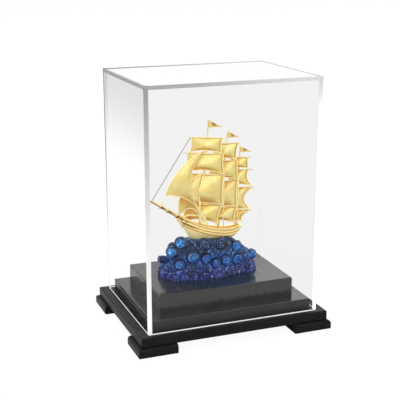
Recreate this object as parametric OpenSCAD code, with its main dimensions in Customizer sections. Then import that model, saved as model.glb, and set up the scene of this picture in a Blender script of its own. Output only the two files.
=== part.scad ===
// Display case: clear cover over a black board on four feet, a two-step plinth,
// and a small gilt sailing ship riding on a cast blue wave.
// Millimetres. X runs along the width, Y towards the back, Z up.
// The origin is on the ground, at the middle of the four feet.

/* [Board and feet] */
// Width of the case over its feet
case_w = 175; // [165:1:260]
// Depth of the case over its feet
case_d = 135; // [125:1:220]
// Height of the whole case
case_h = 220; // [212:1:320]
// How far the feet stand out past the board
foot_proud = 3; // [1.5:0.5:4]
// Height of a foot
foot_h = 8; // [6.5:0.5:14]
// Length of a foot along the width
foot_w = 34; // [26:1:50]
// Length of a foot along the depth
foot_d = 32; // [26:1:44]
// Rounding of the upper outer edge of a foot
foot_top_r = 2.6; // [1:0.1:3]
// Rounding of the lower outer edge of a foot
foot_low_r = 1.3; // [0.5:0.1:2]
// Thickness of the base board
board_t = 8.3; // [7:0.1:14]
// Rounding of the edges of the base board
board_r = 0.9; // [0.3:0.1:2]

/* [Plinth] */
// Clear gap between the inside of the cover and the lower tier
tier_gap = 1.3; // [0.5:0.1:4]
// Thickness of the lower tier
lower_t = 9.7; // [6:0.1:16]
// Thickness of the upper tier
upper_t = 16.7; // [12:0.1:24]
// Width of the step between the tiers at each side
step_side = 11.2; // [4:0.1:14]
// Width of the step between the tiers at front and back
step_front = 12.6; // [4:0.1:14]
// Rounding of the edges of the tiers
tier_r = 0.8; // [0.3:0.1:1.5]

/* [Screws] */
// Radius of a screw's shank
screw_r = 1.9; // [1.5:0.1:2.2]
// Radius of a countersunk head
screw_head_r = 3.7; // [3:0.1:4.2]
// Height of a countersunk head
screw_head_h = 2.2; // [1.6:0.1:2.8]
// Radius of the pilot hole that a thread bites into
pilot_r = 1.5; // [1.2:0.1:1.8]
// Gap all round a shank in a clearance hole
shank_gap = 0.3; // [0.1:0.1:0.6]
// Depth of a head below the surface it is sunk in
head_sink = 0.8; // [0.3:0.1:1.4]
// Length that a plinth screw bites into the upper tier
plinth_bite = 10; // [6:0.5:11]
// Length that a foot screw bites into the board
foot_bite = 5.2; // [3:0.1:6]
// Distance between the plinth screws along the width
plinth_screw_w = 90; // [60:1:100]
// Distance between the plinth screws along the depth
plinth_screw_d = 58; // [40:1:66]
// Distance of a foot screw from the board's edges
foot_screw_in = 8; // [6:0.5:9]
// Distance between the two screws of a foot
foot_screw_pitch = 14; // [10:0.5:16]

/* [Clear cover] */
// Width of the cover
cover_w = 153; // [148:1:160]
// Depth of the cover
cover_d = 119; // [114:1:126]
// Thickness of the clear sheet
sheet_t = 3; // [2:0.1:4]
// Rounding of the polished outer edges
polish_r = 0.5; // [0.2:0.1:1]

/* [Wave] */
// Length of the wave at its foot
wave_l = 89; // [80:1:100]
// Breadth of the wave at its foot
wave_b = 39; // [34:1:46]
// Height of the ridge that carries the ship
wave_h = 32; // [30:0.5:34]
// How far the ridge leans back towards the bow
wave_lean = 2; // [0:0.1:4]
// Radius of a rolled crest
crest_r = 5; // [4:0.1:5.4]
// Length of the sides of a rolled crest
crest_len = 8; // [5:0.5:12]
// Rounding of the ends of a rolled crest
crest_round = 1.4; // [0.6:0.1:2]

/* [Hull] */
// Length of the hull along the rail
hull_l = 56; // [52:0.5:60]
// Position of the middle of the hull along the case
hull_x = 1; // [-2:0.5:4]
// Breadth of the hull
beam = 11.6; // [10:0.1:16]
// Height of the keel over the plinth
keel_h = 27; // [25:0.5:29]
// Height of the rail over the plinth at its lowest place
rail_h = 38; // [36.5:0.1:41]
// Rise of the rail towards the bow
bow_sheer = 14.3; // [11:0.1:16]
// Rise of the rail towards the stern
stern_sheer = 1.9; // [0:0.1:3]
// Depth of the hull below the rail at the stem
stem_depth = 1.6; // [1.2:0.1:3]
// Depth of the hull below the rail at the stern
transom_depth = 4.5; // [4:0.1:6]
// Thickness of the bulwark
bulwark_t = 1.1; // [0.8:0.1:1.4]
// Depth of the deck below the rail
deck_depth = 2.6; // [2:0.1:3.2]
// Thickness of the deck
deck_t = 0.9; // [0.6:0.1:1.2]
// Gap between the deck and the bulwark
deck_gap = 0.1; // [0.05:0.05:0.2]
// Height of the rail cap
cap_h = 0.9; // [0.6:0.1:1.4]
// How far the rail cap stands out past the hull
cap_proud = 0.5; // [0.2:0.1:0.8]
// How far the wales stand out past the hull
wale_proud = 0.6; // [0.3:0.1:0.9]
// Height of a wale
wale_h = 1; // [0.6:0.1:1.4]
// Distance of the upper wale below the rail
upper_wale_drop = 1.8; // [1.2:0.1:2.4]
// Distance of the lower wale below the rail
lower_wale_drop = 4.4; // [3.8:0.1:5]
// Thickness of the knee of the head
knee_t = 1.6; // [1:0.1:2.4]
// Radius of a keel pin
keel_pin_r = 1; // [0.7:0.1:1.5]
// Length of a keel pin in the wave
keel_pin_len = 8; // [4:0.5:12]
// Length of a keel pin in the hull
keel_pin_head = 4; // [2:0.5:6]
// Distance between the two keel pins
keel_pin_apart = 18; // [10:1:26]

/* [Masts and yards] */
// Place of each mast's heel along the case, from fore to mizzen
mast_x = [-9.2, 7.6, 24.6]; // [-12:0.1:28]
// Rake of each mast
mast_rake = [4.9, 5.8, 3.2]; // [0:0.1:9]
// Height of the top of each mast over the plinth
mast_top = [136.6, 125.4, 111.2]; // [100:0.1:160]
// Heights of the foremast's yards over the plinth, from the top down
fore_yards_h = [121.3, 107.5, 89.3, 62.6]; // [50:0.1:130]
// Heights of the mainmast's yards
main_yards_h = [114.9, 99.4, 81.3, 57.9]; // [50:0.1:130]
// Heights of the mizzenmast's yards
mizzen_yards_h = [101.4, 90.3, 74.4, 53.8]; // [45:0.1:110]
// Lengths of the foremast's yards
fore_yards_l = [31, 40, 48, 40]; // [10:0.5:60]
// Lengths of the mainmast's yards
main_yards_l = [24, 26, 30, 32]; // [10:0.5:60]
// Lengths of the mizzenmast's yards
mizzen_yards_l = [21, 27, 30, 27.5]; // [10:0.5:60]
// Angle that the yards are braced round the masts
brace = 36; // [20:1:50]
// Angle that the near end of each mast's yards is raised
yard_tilt = [1, 6, 6]; // [0:0.5:8]
// Radius of a mast at the deck
mast_r = 1.2; // [1:0.1:1.7]
// Radius of a mast at its top
truck_r = 0.5; // [0.4:0.05:0.7]
// Depth that a mast is stepped below the deck
mast_step = 4; // [2:0.5:5]
// Radius of a yard at its middle
yard_r = 0.85; // [0.6:0.05:1.1]
// Radius of a yard at its tips
yard_tip_r = 0.35; // [0.25:0.05:0.5]
// Length of the bowsprit
sprit_l = 37.5; // [30:0.5:42]
// How far behind the stem the heel of the bowsprit lies
sprit_in = 4; // [3:0.1:6]
// How far below the head of the stem the heel of the bowsprit lies
sprit_down = 2.8; // [2:0.1:4]
// Angle that the bowsprit rises
sprit_rise = 33.5; // [25:0.5:40]
// Places of the two rings along the bowsprit, from its tip down
sprit_rings = [26.3, 18.4]; // [5:0.1:36]
// Radius of the rings on the bowsprit
ring_r = 1.9; // [1.6:0.1:2.4]
// Radius of the bowsprit at the bow
bowsprit_r = 1.6; // [1.2:0.1:2]
// Radius of the bowsprit at its tip
bowsprit_tip_r = 1.05; // [0.7:0.05:1.2]
// Radius of a rigging wire
wire_r = 0.3; // [0.25:0.05:0.5]
// Radius of the stout braces that run down to the rail
brace_r = 0.45; // [0.3:0.05:0.6]
// Distance from the middle of the fore and the main topsail yard at which its brace is made fast
brace_reach = [18, 14.6]; // [8:0.5:22]
// Place along the case of each brace's chainplate on the hull
chainplate_x = [11, 24.5]; // [4:0.5:25]
// Length of a ring on the bowsprit
ring_l = 1.4; // [0.8:0.1:2]
// Place along the foot of the outer jib at which the inner of its two stays is made fast
stay_in = 9.5; // [4:0.5:14]

/* [Sails] */
// Widths of the foremast's sails at the head, from the top down
fore_head_l = [28, 32, 36, 36]; // [10:0.5:50]
// Widths of the foremast's sails at the foot
fore_foot_l = [28, 36, 38, 31]; // [10:0.5:50]
// Widths of the mainmast's sails at the head
main_head_l = [22, 23.5, 28, 31]; // [10:0.5:50]
// Widths of the mainmast's sails at the foot
main_foot_l = [21, 29, 31, 29]; // [10:0.5:50]
// Widths of the mizzenmast's sails at the head
mizzen_head_l = [15.5, 18, 25.5, 25.5]; // [10:0.5:50]
// Widths of the mizzenmast's sails at the foot
mizzen_foot_l = [17, 27, 26, 14]; // [10:0.5:50]
// Height of the foot of each mast's lowest sail over the plinth
course_foot_h = [46.5, 44.5, 43.5]; // [42:0.1:50]
// Thickness of the sheet that the sails are formed from
sail_t = 0.7; // [0.5:0.1:1]
// Fullness of the belly of a sail, as a share of its drop
sail_belly = 0.34; // [0.15:0.01:0.45]
// Rise of the arched foot of a sail from the royal to the course, as a share of its drop
sail_arch = [0.2, 0.22, 0.08, 0.24]; // [0:0.01:0.3]
// Hollow of the side edges of the foremast's and the mainmast's sails
sail_hollow = 1.1; // [0:0.1:2]
// Hollow of the side edges of the mizzenmast's sails, from the royal down
mizzen_hollow = [0.5, 3.2, 6.5, 4]; // [0:0.1:8]
// Height of the head of each jib on the foremast over the plinth, from the outer one in
jib_head_h = [111, 91.5, 76]; // [70:0.1:125]
// Length of each pennant, from fore to mizzen
pennant_l = [12, 10.5, 10.5]; // [8:0.5:14]
// Height of each pennant at the mast
pennant_h = [6.4, 5.4, 4.9]; // [4:0.1:8]
// How far a pennant curls out of its plane
pennant_curl = 0.9; // [0:0.1:1.5]

/* [Hidden] */
MASTS = ["fore", "main", "mizzen"];
COURSES = ["royal", "topgallant", "topsail", "course"];
FEET = [["foot_front_left", 0, 0], ["foot_front_right", 1, 0],
        ["foot_rear_left", 0, 1], ["foot_rear_right", 1, 1]];
$fn = 48;
mesh_fn = 14;
eps = 0.01;

board_w = case_w - 2 * foot_proud;
board_d = case_d - 2 * foot_proud;
board_top = foot_h + board_t;
lower_w = cover_w - 2 * sheet_t - 2 * tier_gap;
lower_d = cover_d - 2 * sheet_t - 2 * tier_gap;
lower_top = board_top + lower_t;
upper_w = lower_w - 2 * step_side;
upper_d = lower_d - 2 * step_front;
plinth_top = lower_top + upper_t;
cover_wall_h = case_h - board_top - sheet_t;
wave_x = -1;
jib_head_t = 0.04;
yards_h = [fore_yards_h, main_yards_h, mizzen_yards_h];
yards_l = [fore_yards_l, main_yards_l, mizzen_yards_l];
sail_head_l = [fore_head_l, main_head_l, mizzen_head_l];
sail_foot_l = [fore_foot_l, main_foot_l, mizzen_foot_l];

// ---- plain wooden pieces ----

// Outline of a board's edge: a rectangle whose two upright sides are rounded off.
module edge_outline(w, h, low_r, top_r) {
    difference() {
        translate([-w / 2, 0]) square([w, h]);
        for (s = [0, 1]) mirror([s, 0]) {
            corner_cut(w / 2, 0, low_r);
            translate([0, h]) mirror([0, 1]) corner_cut(w / 2, 0, top_r);
        }
    }
}

// What is planed off a corner at [x, y] to leave a round of radius r.
module corner_cut(x, y, r) {
    if (r > 0) difference() {
        translate([x - r, y - eps]) square([r + eps, r + eps]);
        translate([x - r, y + r]) circle(r);
    }
}

// A board with its four top edges and four bottom edges rounded, standing on z = 0.
module moulded_board(w, d, h, low_r, top_r) {
    intersection() {
        rotate([90, 0, 0]) linear_extrude(d, center = true) edge_outline(w, h, low_r, top_r);
        rotate([90, 0, 90]) linear_extrude(w, center = true) edge_outline(d, h, low_r, top_r);
    }
}

// A countersunk wood screw standing on its head, with its point up.
module wood_screw(len) {
    tip = screw_r * 1.6;
    cylinder(screw_head_h, screw_head_r, screw_r);
    translate([0, 0, screw_head_h]) cylinder(len - screw_head_h - tip, screw_r, screw_r);
    translate([0, 0, len - tip]) cylinder(tip, screw_r, 0.3);
}

// The hole for a sunk screw: recess, countersink and clearance through to depth.
module screw_hole(depth) {
    translate([0, 0, -eps]) cylinder(head_sink + eps, screw_head_r, screw_head_r);
    translate([0, 0, head_sink]) cylinder(screw_head_h, screw_head_r, screw_r);
    cylinder(depth, screw_r + shank_gap, screw_r + shank_gap);
}

// Places its children at the four plinth screws.
module at_plinth_screws() {
    for (x = [-1, 1]) for (y = [-1, 1])
        translate([x * plinth_screw_w / 2, y * plinth_screw_d / 2, foot_h]) children();
}

// Places its children at the two screws of the foot at the front left corner.
module at_corner_screws() {
    for (k = [0, 1])
        translate([-board_w / 2 + foot_screw_in + k * foot_screw_pitch,
                   -board_d / 2 + foot_screw_in + (1 - k) * foot_screw_pitch, 0]) children();
}

// Turns the front left corner into any of the four.
module to_corner(right, rear) {
    mirror([right, 0, 0]) mirror([0, rear, 0]) children();
}

module base_board() {
    color([0.09, 0.09, 0.085]) difference() {
        translate([0, 0, foot_h]) moulded_board(board_w, board_d, board_t, board_r, board_r);
        at_plinth_screws() screw_hole(board_t + eps);
        for (f = FEET) to_corner(f[1], f[2]) at_corner_screws()
            translate([0, 0, foot_h - eps]) cylinder(foot_bite, pilot_r, pilot_r);
    }
}

module foot(right, rear) {
    color([0.1, 0.1, 0.095]) to_corner(right, rear) difference() {
        intersection() {
            moulded_board(case_w, case_d, foot_h, foot_low_r, foot_top_r);
            translate([-case_w / 2, -case_d / 2, 0]) cube([foot_w, foot_d, foot_h]);
        }
        at_corner_screws() screw_hole(foot_h + eps);
    }
}

module foot_screws() {
    color("silver") for (f = FEET) to_corner(f[1], f[2]) at_corner_screws()
        translate([0, 0, head_sink]) wood_screw(foot_h - head_sink + foot_bite);
}

module lower_tier() {
    color([0.24, 0.24, 0.23]) difference() {
        translate([0, 0, board_top]) moulded_board(lower_w, lower_d, lower_t, 0, tier_r);
        at_plinth_screws() cylinder(board_t + lower_t + eps, screw_r + shank_gap, screw_r + shank_gap);
    }
}

module upper_tier() {
    color([0.3, 0.3, 0.29]) difference() {
        translate([0, 0, lower_top]) moulded_board(upper_w, upper_d, upper_t, 0, tier_r);
        at_plinth_screws() cylinder(board_t + lower_t + plinth_bite, pilot_r, pilot_r);
    }
}

module plinth_screws() {
    color("silver") at_plinth_screws()
        translate([0, 0, head_sink]) wood_screw(board_t - head_sink + lower_t + plinth_bite);
}

// ---- clear cover: five sheets cemented edge to face ----

module at_cover() { translate([0, 0, board_top]) children(); }

module clear() { color([0.85, 0.92, 0.95, 0.3]) at_cover() children(); }

// Front sheet, with its two outer upright edges polished round. side is -1 for front, 1 for rear.
module end_sheet(side) {
    mirror([0, (1 + side) / 2, 0]) linear_extrude(cover_wall_h) difference() {
        translate([-cover_w / 2, -cover_d / 2]) square([cover_w, sheet_t]);
        for (s = [0, 1]) mirror([s, 0]) corner_cut(cover_w / 2, -cover_d / 2, polish_r);
    }
}

module side_sheet(side) {
    mirror([(1 + side) / 2, 0, 0]) translate([-cover_w / 2, -cover_d / 2 + sheet_t, 0])
        cube([sheet_t, cover_d - 2 * sheet_t, cover_wall_h]);
}

module cover_front_panel() { clear() end_sheet(-1); }
module cover_rear_panel() { clear() end_sheet(1); }
module cover_left_panel() { clear() side_sheet(-1); }
module cover_right_panel() { clear() side_sheet(1); }
module cover_top_panel() {
    clear() translate([0, 0, cover_wall_h])
        moulded_board(cover_w, cover_d, sheet_t, 0, polish_r);
}

// ---- solids from computed points ----

// A solid through a row of flat rings that all have the same number of points.
module loft(rings) {
    n = len(rings[0]);
    m = len(rings);
    polyhedron(
        points = [for (r = rings) for (p = r) p],
        faces = concat(
            [[for (i = [0:n - 1]) i]],
            [for (j = [0:m - 2]) for (i = [0:n - 1]) let (a = j * n + i, b = j * n + (i + 1) % n)
                each [[a, a + n, b + n], [a, b + n, b]]],
            [[for (i = [n - 1:-1:0]) (m - 1) * n + i]]));
}

// A thin sheet: surf(u, v) gives its face for u and v from 0 to 1, and back is its thickness.
module formed_sheet(nu, nv, surf, back) {
    face = [for (j = [0:nv]) for (i = [0:nu]) surf(i / nu, j / nv)];
    n = len(face);
    w = nu + 1;
    rim = concat([for (i = [0:nu - 1]) i], [for (j = [0:nv - 1]) j * w + nu],
                 [for (i = [nu:-1:1]) nv * w + i], [for (j = [nv:-1:1]) j * w]);
    polyhedron(
        points = concat(face, [for (p = face) p + back]),
        faces = concat(
            [for (j = [0:nv - 1]) for (i = [0:nu - 1]) let (a = j * w + i)
                each [[a, a + 1, a + w + 1], [a, a + w + 1, a + w],
                      [n + a, n + a + w + 1, n + a + 1], [n + a, n + a + w, n + a + w + 1]]],
            [for (k = [0:len(rim) - 1]) let (a = rim[k], b = rim[(k + 1) % len(rim)])
                each [[a, n + b, b], [a, n + a, n + b]]]));
}

// A straight rod from a to b, whose radius goes from ra to rb.
module rod(a, b, ra, rb) {
    d = b - a;
    translate(a) rotate([0, acos(d.z / norm(d)), atan2(d.y, d.x)]) cylinder(norm(d), ra, rb);
}

// Point on a smooth curve that leaves a for c and is pulled towards b.
function bow(a, b, c, t) = (1 - t) * (1 - t) * a + 2 * t * (1 - t) * b + t * t * c;

// ---- hull ----

module at_ship() { translate([0, 0, plinth_top]) children(); }

module gilt() { color([0.9, 0.72, 0.32]) at_ship() children(); }

hull_low_x = 17;
hull_stations = 18;
hull_ribs = 7;
stem_half = 0.7;
bow_x = hull_x - hull_l / 2;
stern_x = hull_x + hull_l / 2;
stem_head = [bow_x, 0, rail_h + bow_sheer];

function station(k) = bow_x + hull_l * (1 - cos(180 * k / hull_stations)) / 2;
function along(x) = 2 * (x - hull_x) / hull_l;
function rail_z(x) = rail_h
    + bow_sheer * pow(max(0, (hull_low_x - x) / (hull_low_x - bow_x)), 1.7)
    + stern_sheer * pow(max(0, (x - hull_low_x) / (stern_x - hull_low_x)), 2);
function half_beam(x) = let (e = along(x)) max(stem_half, beam / 2 *
    (e < 0 ? pow(max(0, 1 - pow(-e, 2.4)), 0.8) : 1 - 0.42 * pow(e, 3)));
function keel_z(x) = let (e = along(x)) keel_h
    + (rail_z(x) - (e < 0 ? stem_depth : transom_depth) - keel_h) * pow(abs(e), 3);
function rib(x) = [for (i = [-hull_ribs:hull_ribs]) let (a = 90 * i / hull_ribs)
    [x, half_beam(x) * sign(a) * pow(abs(sin(a)), 0.85),
     keel_z(x) + (rail_z(x) - keel_z(x)) * (1 - cos(a))]];

module hull_form() {
    loft([for (k = [0:hull_stations]) rib(station(k))]);
}

// A band that follows the sheer, from low to high measured from the rail, and from side to side
// of the hull widened by proud. It leaves out the stations nearest the ends by the count given.
module sheer_band(proud, low, high, bow_skip, stern_skip) {
    loft([for (k = [bow_skip:hull_stations - stern_skip]) let (x = station(k), w = half_beam(x) + proud)
        [[x, -w, rail_z(x) + low], [x, w, rail_z(x) + low],
         [x, w, rail_z(x) + high], [x, -w, rail_z(x) + high]]]);
}

module planked_hull() {
    gilt() difference() {
        hull_form();
        sheer_band(-bulwark_t, -deck_depth, 1, 3, 1);
    }
}

module deck() {
    gilt() sheer_band(-bulwark_t - deck_gap, -deck_depth, -deck_depth + deck_t, 3, 1);
}

module rail_cap() {
    gilt() difference() {
        sheer_band(cap_proud, 0, cap_h, 0, 0);
        sheer_band(-bulwark_t - 0.2, -1, cap_h + 1, 3, 1);
    }
}

// Half breadth of the hull at drop below the rail.
function skin_y(x, drop) = let (deep = rail_z(x) - keel_z(x))
    half_beam(x) * pow(sin(acos(min(1, drop / deep))), 0.85);

// A moulding along both sides of the hull, drop below the rail.
module wale_band(drop, bow_skip, stern_skip) {
    loft([for (k = [bow_skip:hull_stations - stern_skip])
        let (x = station(k), w = skin_y(x, drop + wale_h / 2) + wale_proud, z = rail_z(x) - drop)
        [[x, -w, z - wale_h], [x, w, z - wale_h], [x, w, z], [x, -w, z]]]);
}

module wale_bands() {
    wale_band(upper_wale_drop, 2, 0);
    wale_band(lower_wale_drop, 3, 2);
}

module wales() {
    gilt() difference() {
        wale_bands();
        hull_form();
    }
}

// Knee of the head: a flat bracket from the stem to the underside of the bowsprit.
module beakhead() {
    gilt() rotate([90, 0, 0]) linear_extrude(knee_t, center = true)
        polygon([for (p = [[2.2, -9.5], [-0.8, -3.5], [-3.5, 0.2], [-7, 3.4], [-6, 0.4], [-3, -4.5]])
            [bow_x + p.x, rail_z(bow_x) + p.y]]);
}

// ---- masts, yards and bowsprit ----

function mast_at(m, z) = [mast_x[m] + (z - mast_foot_z(m)) * tan(mast_rake[m]), 0, z];
function mast_foot_z(m) = rail_z(mast_x[m]) - deck_depth - mast_step;
function mast_r_at(m, z) = mast_r
    + (truck_r - mast_r) * (z - mast_foot_z(m)) / (mast_top[m] - mast_foot_z(m));
yard_dir = [cos(brace), -sin(brace), 0];
function yard_rise(m) = [0, 0, tan(yard_tilt[m])];
ahead = [-sin(brace), -cos(brace), 0];

// Point at reach along a yard's axis from its middle; reach is towards the near end.
function on_yard(m, k, reach) = let (z = yards_h[m][k])
    mast_at(m, z) + ahead * (mast_r_at(m, z) + yard_r / 2) + (yard_dir + yard_rise(m)) * reach;

module mast(m) {
    gilt() rod(mast_at(m, mast_foot_z(m)), mast_at(m, mast_top[m]), mast_r, truck_r);
}

module yard(m, k) {
    gilt() for (side = [-1, 1])
        rod(on_yard(m, k, 0), on_yard(m, k, side * yards_l[m][k] / 2), yard_r, yard_tip_r);
}

sprit_heel = stem_head + [sprit_in, 0, -sprit_down];
function on_sprit(reach) = sprit_heel + reach * [-cos(sprit_rise), 0, sin(sprit_rise)];

module bowsprit() {
    gilt() {
        rod(sprit_heel, on_sprit(sprit_l), bowsprit_r, bowsprit_tip_r);
        for (reach = sprit_rings)
            rod(on_sprit(reach - ring_l / 2), on_sprit(reach + ring_l / 2), ring_r, ring_r);
    }
}

// ---- sails ----

// Height of the foot of a square sail: just over the next yard, or its own height for a course.
function foot_z(m, k) = k < 3 ? yards_h[m][k + 1] + yard_r + 0.2 : course_foot_h[m];

// A square sail, formed with a full belly, hollow sides and an arched foot.
module square_sail(m, k) {
    top_z = yards_h[m][k] - yard_tip_r / 2;
    drop = top_z - foot_z(m, k);
    gilt() formed_sheet(10, 8, function (u, v)
        let (s = 2 * u - 1,
             hollow = m < 2 ? sail_hollow : mizzen_hollow[k],
             half = (sail_head_l[m][k] * (1 - v) + sail_foot_l[m][k] * v) / 2 - hollow * 4 * v * (1 - v),
             z = top_z - drop * v,
             fill = sail_belly * drop * (1 - s * s) * sin(150 * v),
             stand = mast_r_at(m, yards_h[m][k]) + yard_r / 2 + sail_t / 2)
        mast_at(m, z) + (yard_dir + yard_rise(m)) * s * half + ahead * (stand + fill)
            + [0, 0, sail_arch[k] * drop * (1 - s * s) * v * v],
        -ahead * sail_t);
}

// The jibs, from the outer one in. Each row is the tack, the clew and the points that the luff, the
// leech and the foot are drawn towards, all from the head of the stem, and then the belly.
JIBS = [
    [[-13.5, -1, 21.6], [22, -10.5, -6.9], [-6, -5, 48], [-9, -9, 38.5], [12, -8, 22.4], 2.5],
    [[-1.2, -0.6, 2.5], [16.4, -8, -4.6], [-7, -3, 28.1], [11, -10.5, 25.1], [11, -8, 19.1], 2],
    [[2.5, -0.5, 0.5], [17, -7, 0.1], [5, -2, 15.1], [13, -9, 13.1], [10, -6, 5.1], 1]];

function tack(j) = stem_head + JIBS[j][0];

// A three-cornered sail from the foremast, whose belly is pressed to the front.
module jib(j) {
    head = mast_at(0, jib_head_h[j]) + [0, -mast_r, 0];
    clew = stem_head + JIBS[j][1];
    gilt() formed_sheet(8, 12, function (u, v)
        let (t = jib_head_t + (1 - jib_head_t) * v,
             luff = bow(head, stem_head + JIBS[j][2], tack(j), t),
             leech = bow(head, stem_head + JIBS[j][3], clew, t),
             foot_lift = bow(tack(j), stem_head + JIBS[j][4], clew, u) - (tack(j) * (1 - u) + clew * u))
        luff * (1 - u) + leech * u + foot_lift * pow(t, 3)
            + [0, -JIBS[j][5] * sin(180 * u) * sin(150 * t), 0],
        [0, sail_t, 0]);
}

module outer_jib() { jib(0); }
module middle_jib() { jib(1); }
module inner_jib() { jib(2); }

// A pennant that streams aft from the top of a mast.
module pennant(m) {
    top = mast_at(m, mast_top[m]);
    gilt() formed_sheet(8, 2, function (u, v)
        top + [truck_r / 2 + u * pennant_l[m], pennant_curl * u * sin(300 * u) - sail_t / 2,
               -0.4 - pennant_h[m] + (1 - v) * (pennant_h[m] * pow(1 - u, 1.3) + 0.5)],
        [0, sail_t, 0]);
}

// ---- rigging ----

module royal_stay() {
    gilt() rod(on_yard(0, 0, -yards_l[0][0] / 2 + 1), on_sprit(sprit_l - 1.5), wire_r, wire_r);
}

module jib_stays() {
    gilt() {
        rod(tack(0) + [0, sail_t / 2, sail_t / 2], on_sprit(sprit_rings[0]), brace_r, brace_r);
        rod(tack(0) + [stay_in, -sail_t, -sail_t], on_sprit(sprit_rings[1]), wire_r, wire_r);
    }
}

// Chainplate on the near side of the hull, where a brace is made fast under the rail cap.
function on_side(x) = [x, -half_beam(x) - wale_proud / 2, rail_z(x) - upper_wale_drop];

module yard_braces() {
    gilt() {
        for (m = [0, 1])
            rod(on_yard(m, 2, brace_reach[m]), on_side(chainplate_x[m]), brace_r, brace_r);
    }
}

// ---- keel pins and wave ----

module keel_pins() {
    color("goldenrod") at_ship() for (x = [-1, 1])
        translate([hull_x + x * keel_pin_apart / 2, 0, keel_h - keel_pin_len])
            cylinder(keel_pin_len + keel_pin_head, keel_pin_r, keel_pin_r);
}

// Swell of the wave: rings of a rounded loaf, with ripples round it.
// Each row is the share of the height, of the length and of the breadth.
WAVE_RINGS = [[0, 1, 1], [0.12, 0.99, 0.98], [0.28, 0.95, 0.93], [0.45, 0.88, 0.86],
              [0.62, 0.74, 0.76], [0.8, 0.6, 0.64], [0.93, 0.49, 0.5], [1, 0.4, 0.34]];
wave_points = 36;

function wave_ring(row) = [for (i = [0:wave_points - 1])
    let (a = 360 * i / wave_points,
         ripple = 1 + 0.04 * sin(7 * a + 210 * row[0]) + 0.025 * sin(12 * a - 320 * row[0]))
    [wave_x - wave_lean * row[0] + wave_l / 2 * row[1] * ripple * sign(cos(a)) * pow(abs(cos(a)), 0.85),
     wave_b / 2 * row[2] * ripple * sign(sin(a)) * pow(abs(sin(a)), 0.85),
     wave_h * row[0]]];

// Rolled crests: the middle of the curl as shares of half the length, of half the breadth and of the
// height, then its share of crest_r, and how far its axis is turned from facing front.
CRESTS = [
    [-1, -0.21, 0.56, 0.68, 75], [-0.84, -0.41, 0.78, 1, -15], [-0.65, -0.41, 1.01, 1.08, -12],
    [-0.45, -0.72, 0.64, 1.1, -12], [-0.2, -0.82, 0.55, 0.92, 0], [-0.18, -0.51, 0.91, 1.08, -5],
    [0.15, -0.51, 0.88, 1.08, -5], [-0.01, -0.49, 0.94, 0.6, 0], [0.53, -0.44, 0.74, 0.96, -8],
    [0.9, -0.21, 0.39, 0.92, 15], [-0.01, -0.87, 0.41, 0.8, 0], [0.22, -0.82, 0.44, 0.92, 5],
    [0.47, -0.72, 0.42, 0.96, 5], [0.7, -0.51, 0.42, 0.88, 10], [-0.7, -0.62, 0.44, 0.96, -20],
    [-0.67, 0.46, 0.7, 1, 195], [-0.47, 0.56, 0.81, 1.04, 185], [-0.16, 0.56, 0.84, 1.04, 180],
    [0.18, 0.56, 0.81, 1.04, 175], [0.47, 0.46, 0.7, 0.96, 170], [0.76, 0.31, 0.42, 0.92, 160],
    [-0.65, 0.62, 0.41, 0.96, 195], [-0.31, 0.77, 0.47, 1, 180], [0.07, 0.79, 0.44, 1, 180],
    [0.43, 0.72, 0.39, 0.96, 175]];

// One crest: a rolled curl that runs down into the body of the wave.
module crest(c) {
    out = c[0] * wave_l / 2;
    aside = c[1] * wave_b / 2;
    up = c[2] * wave_h;
    curl_r = c[3] * crest_r;
    hull() {
        translate([wave_x + out, aside, up]) rotate([90, 0, c[4]]) {
            cylinder(crest_len - 2 * crest_round, curl_r, curl_r, center = true, $fn = mesh_fn);
            cylinder(crest_len, curl_r - crest_round, curl_r - crest_round, center = true, $fn = mesh_fn);
        }
        translate([wave_x + out * 0.8, aside * 0.5, max(up - curl_r * 1.6, curl_r * 0.75)])
            sphere(curl_r * 0.7, $fn = 8);
    }
}

module wave() {
    color([0.1, 0.25, 0.75]) at_ship() difference() {
        union() {
            loft([for (row = WAVE_RINGS) wave_ring(row)]);
            for (c = CRESTS) crest(c);
        }
        hull_form();
        wale_bands();
    }
}

// ---- assembly ----

base_board();
for (f = FEET) foot(f[1], f[2]);
foot_screws();
lower_tier();
upper_tier();
plinth_screws();
wave();
keel_pins();
planked_hull();  // hull
deck();
rail_cap();
wales();
beakhead();
bowsprit();
for (m = [0:2]) {
    mast(m);
    pennant(m);
    for (k = [0:3]) {
        yard(m, k);
        square_sail(m, k);
    }
}
outer_jib();
middle_jib();
inner_jib();
royal_stay();
jib_stays();
yard_braces();
cover_front_panel();
cover_rear_panel();
cover_left_panel();
cover_right_panel();
cover_top_panel();
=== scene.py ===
import math
import random

import bmesh
import bpy
import numpy as np
from mathutils import Matrix, Vector


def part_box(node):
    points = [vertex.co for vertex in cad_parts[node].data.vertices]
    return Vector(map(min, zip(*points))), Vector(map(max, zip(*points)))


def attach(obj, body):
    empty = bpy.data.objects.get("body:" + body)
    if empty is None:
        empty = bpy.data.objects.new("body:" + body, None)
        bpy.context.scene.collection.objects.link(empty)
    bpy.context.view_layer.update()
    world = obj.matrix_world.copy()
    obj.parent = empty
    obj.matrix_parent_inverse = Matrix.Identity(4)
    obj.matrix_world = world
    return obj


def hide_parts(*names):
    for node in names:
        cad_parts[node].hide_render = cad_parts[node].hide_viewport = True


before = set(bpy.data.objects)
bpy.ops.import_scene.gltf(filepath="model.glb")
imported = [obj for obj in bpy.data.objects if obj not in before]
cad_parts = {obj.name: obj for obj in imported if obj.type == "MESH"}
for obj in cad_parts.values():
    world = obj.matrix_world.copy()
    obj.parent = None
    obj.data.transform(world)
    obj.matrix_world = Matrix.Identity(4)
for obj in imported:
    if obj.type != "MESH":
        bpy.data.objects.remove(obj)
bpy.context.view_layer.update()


# ---- Base board and its four feet ----
# Solid wood under several coats of black satin lacquer, rubbed down between coats, so the
# grain still shows a little through it. The edges are rounded by hand and shine most.
MM = 0.001
BLACK = (0.0095, 0.0092, 0.0088)
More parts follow.
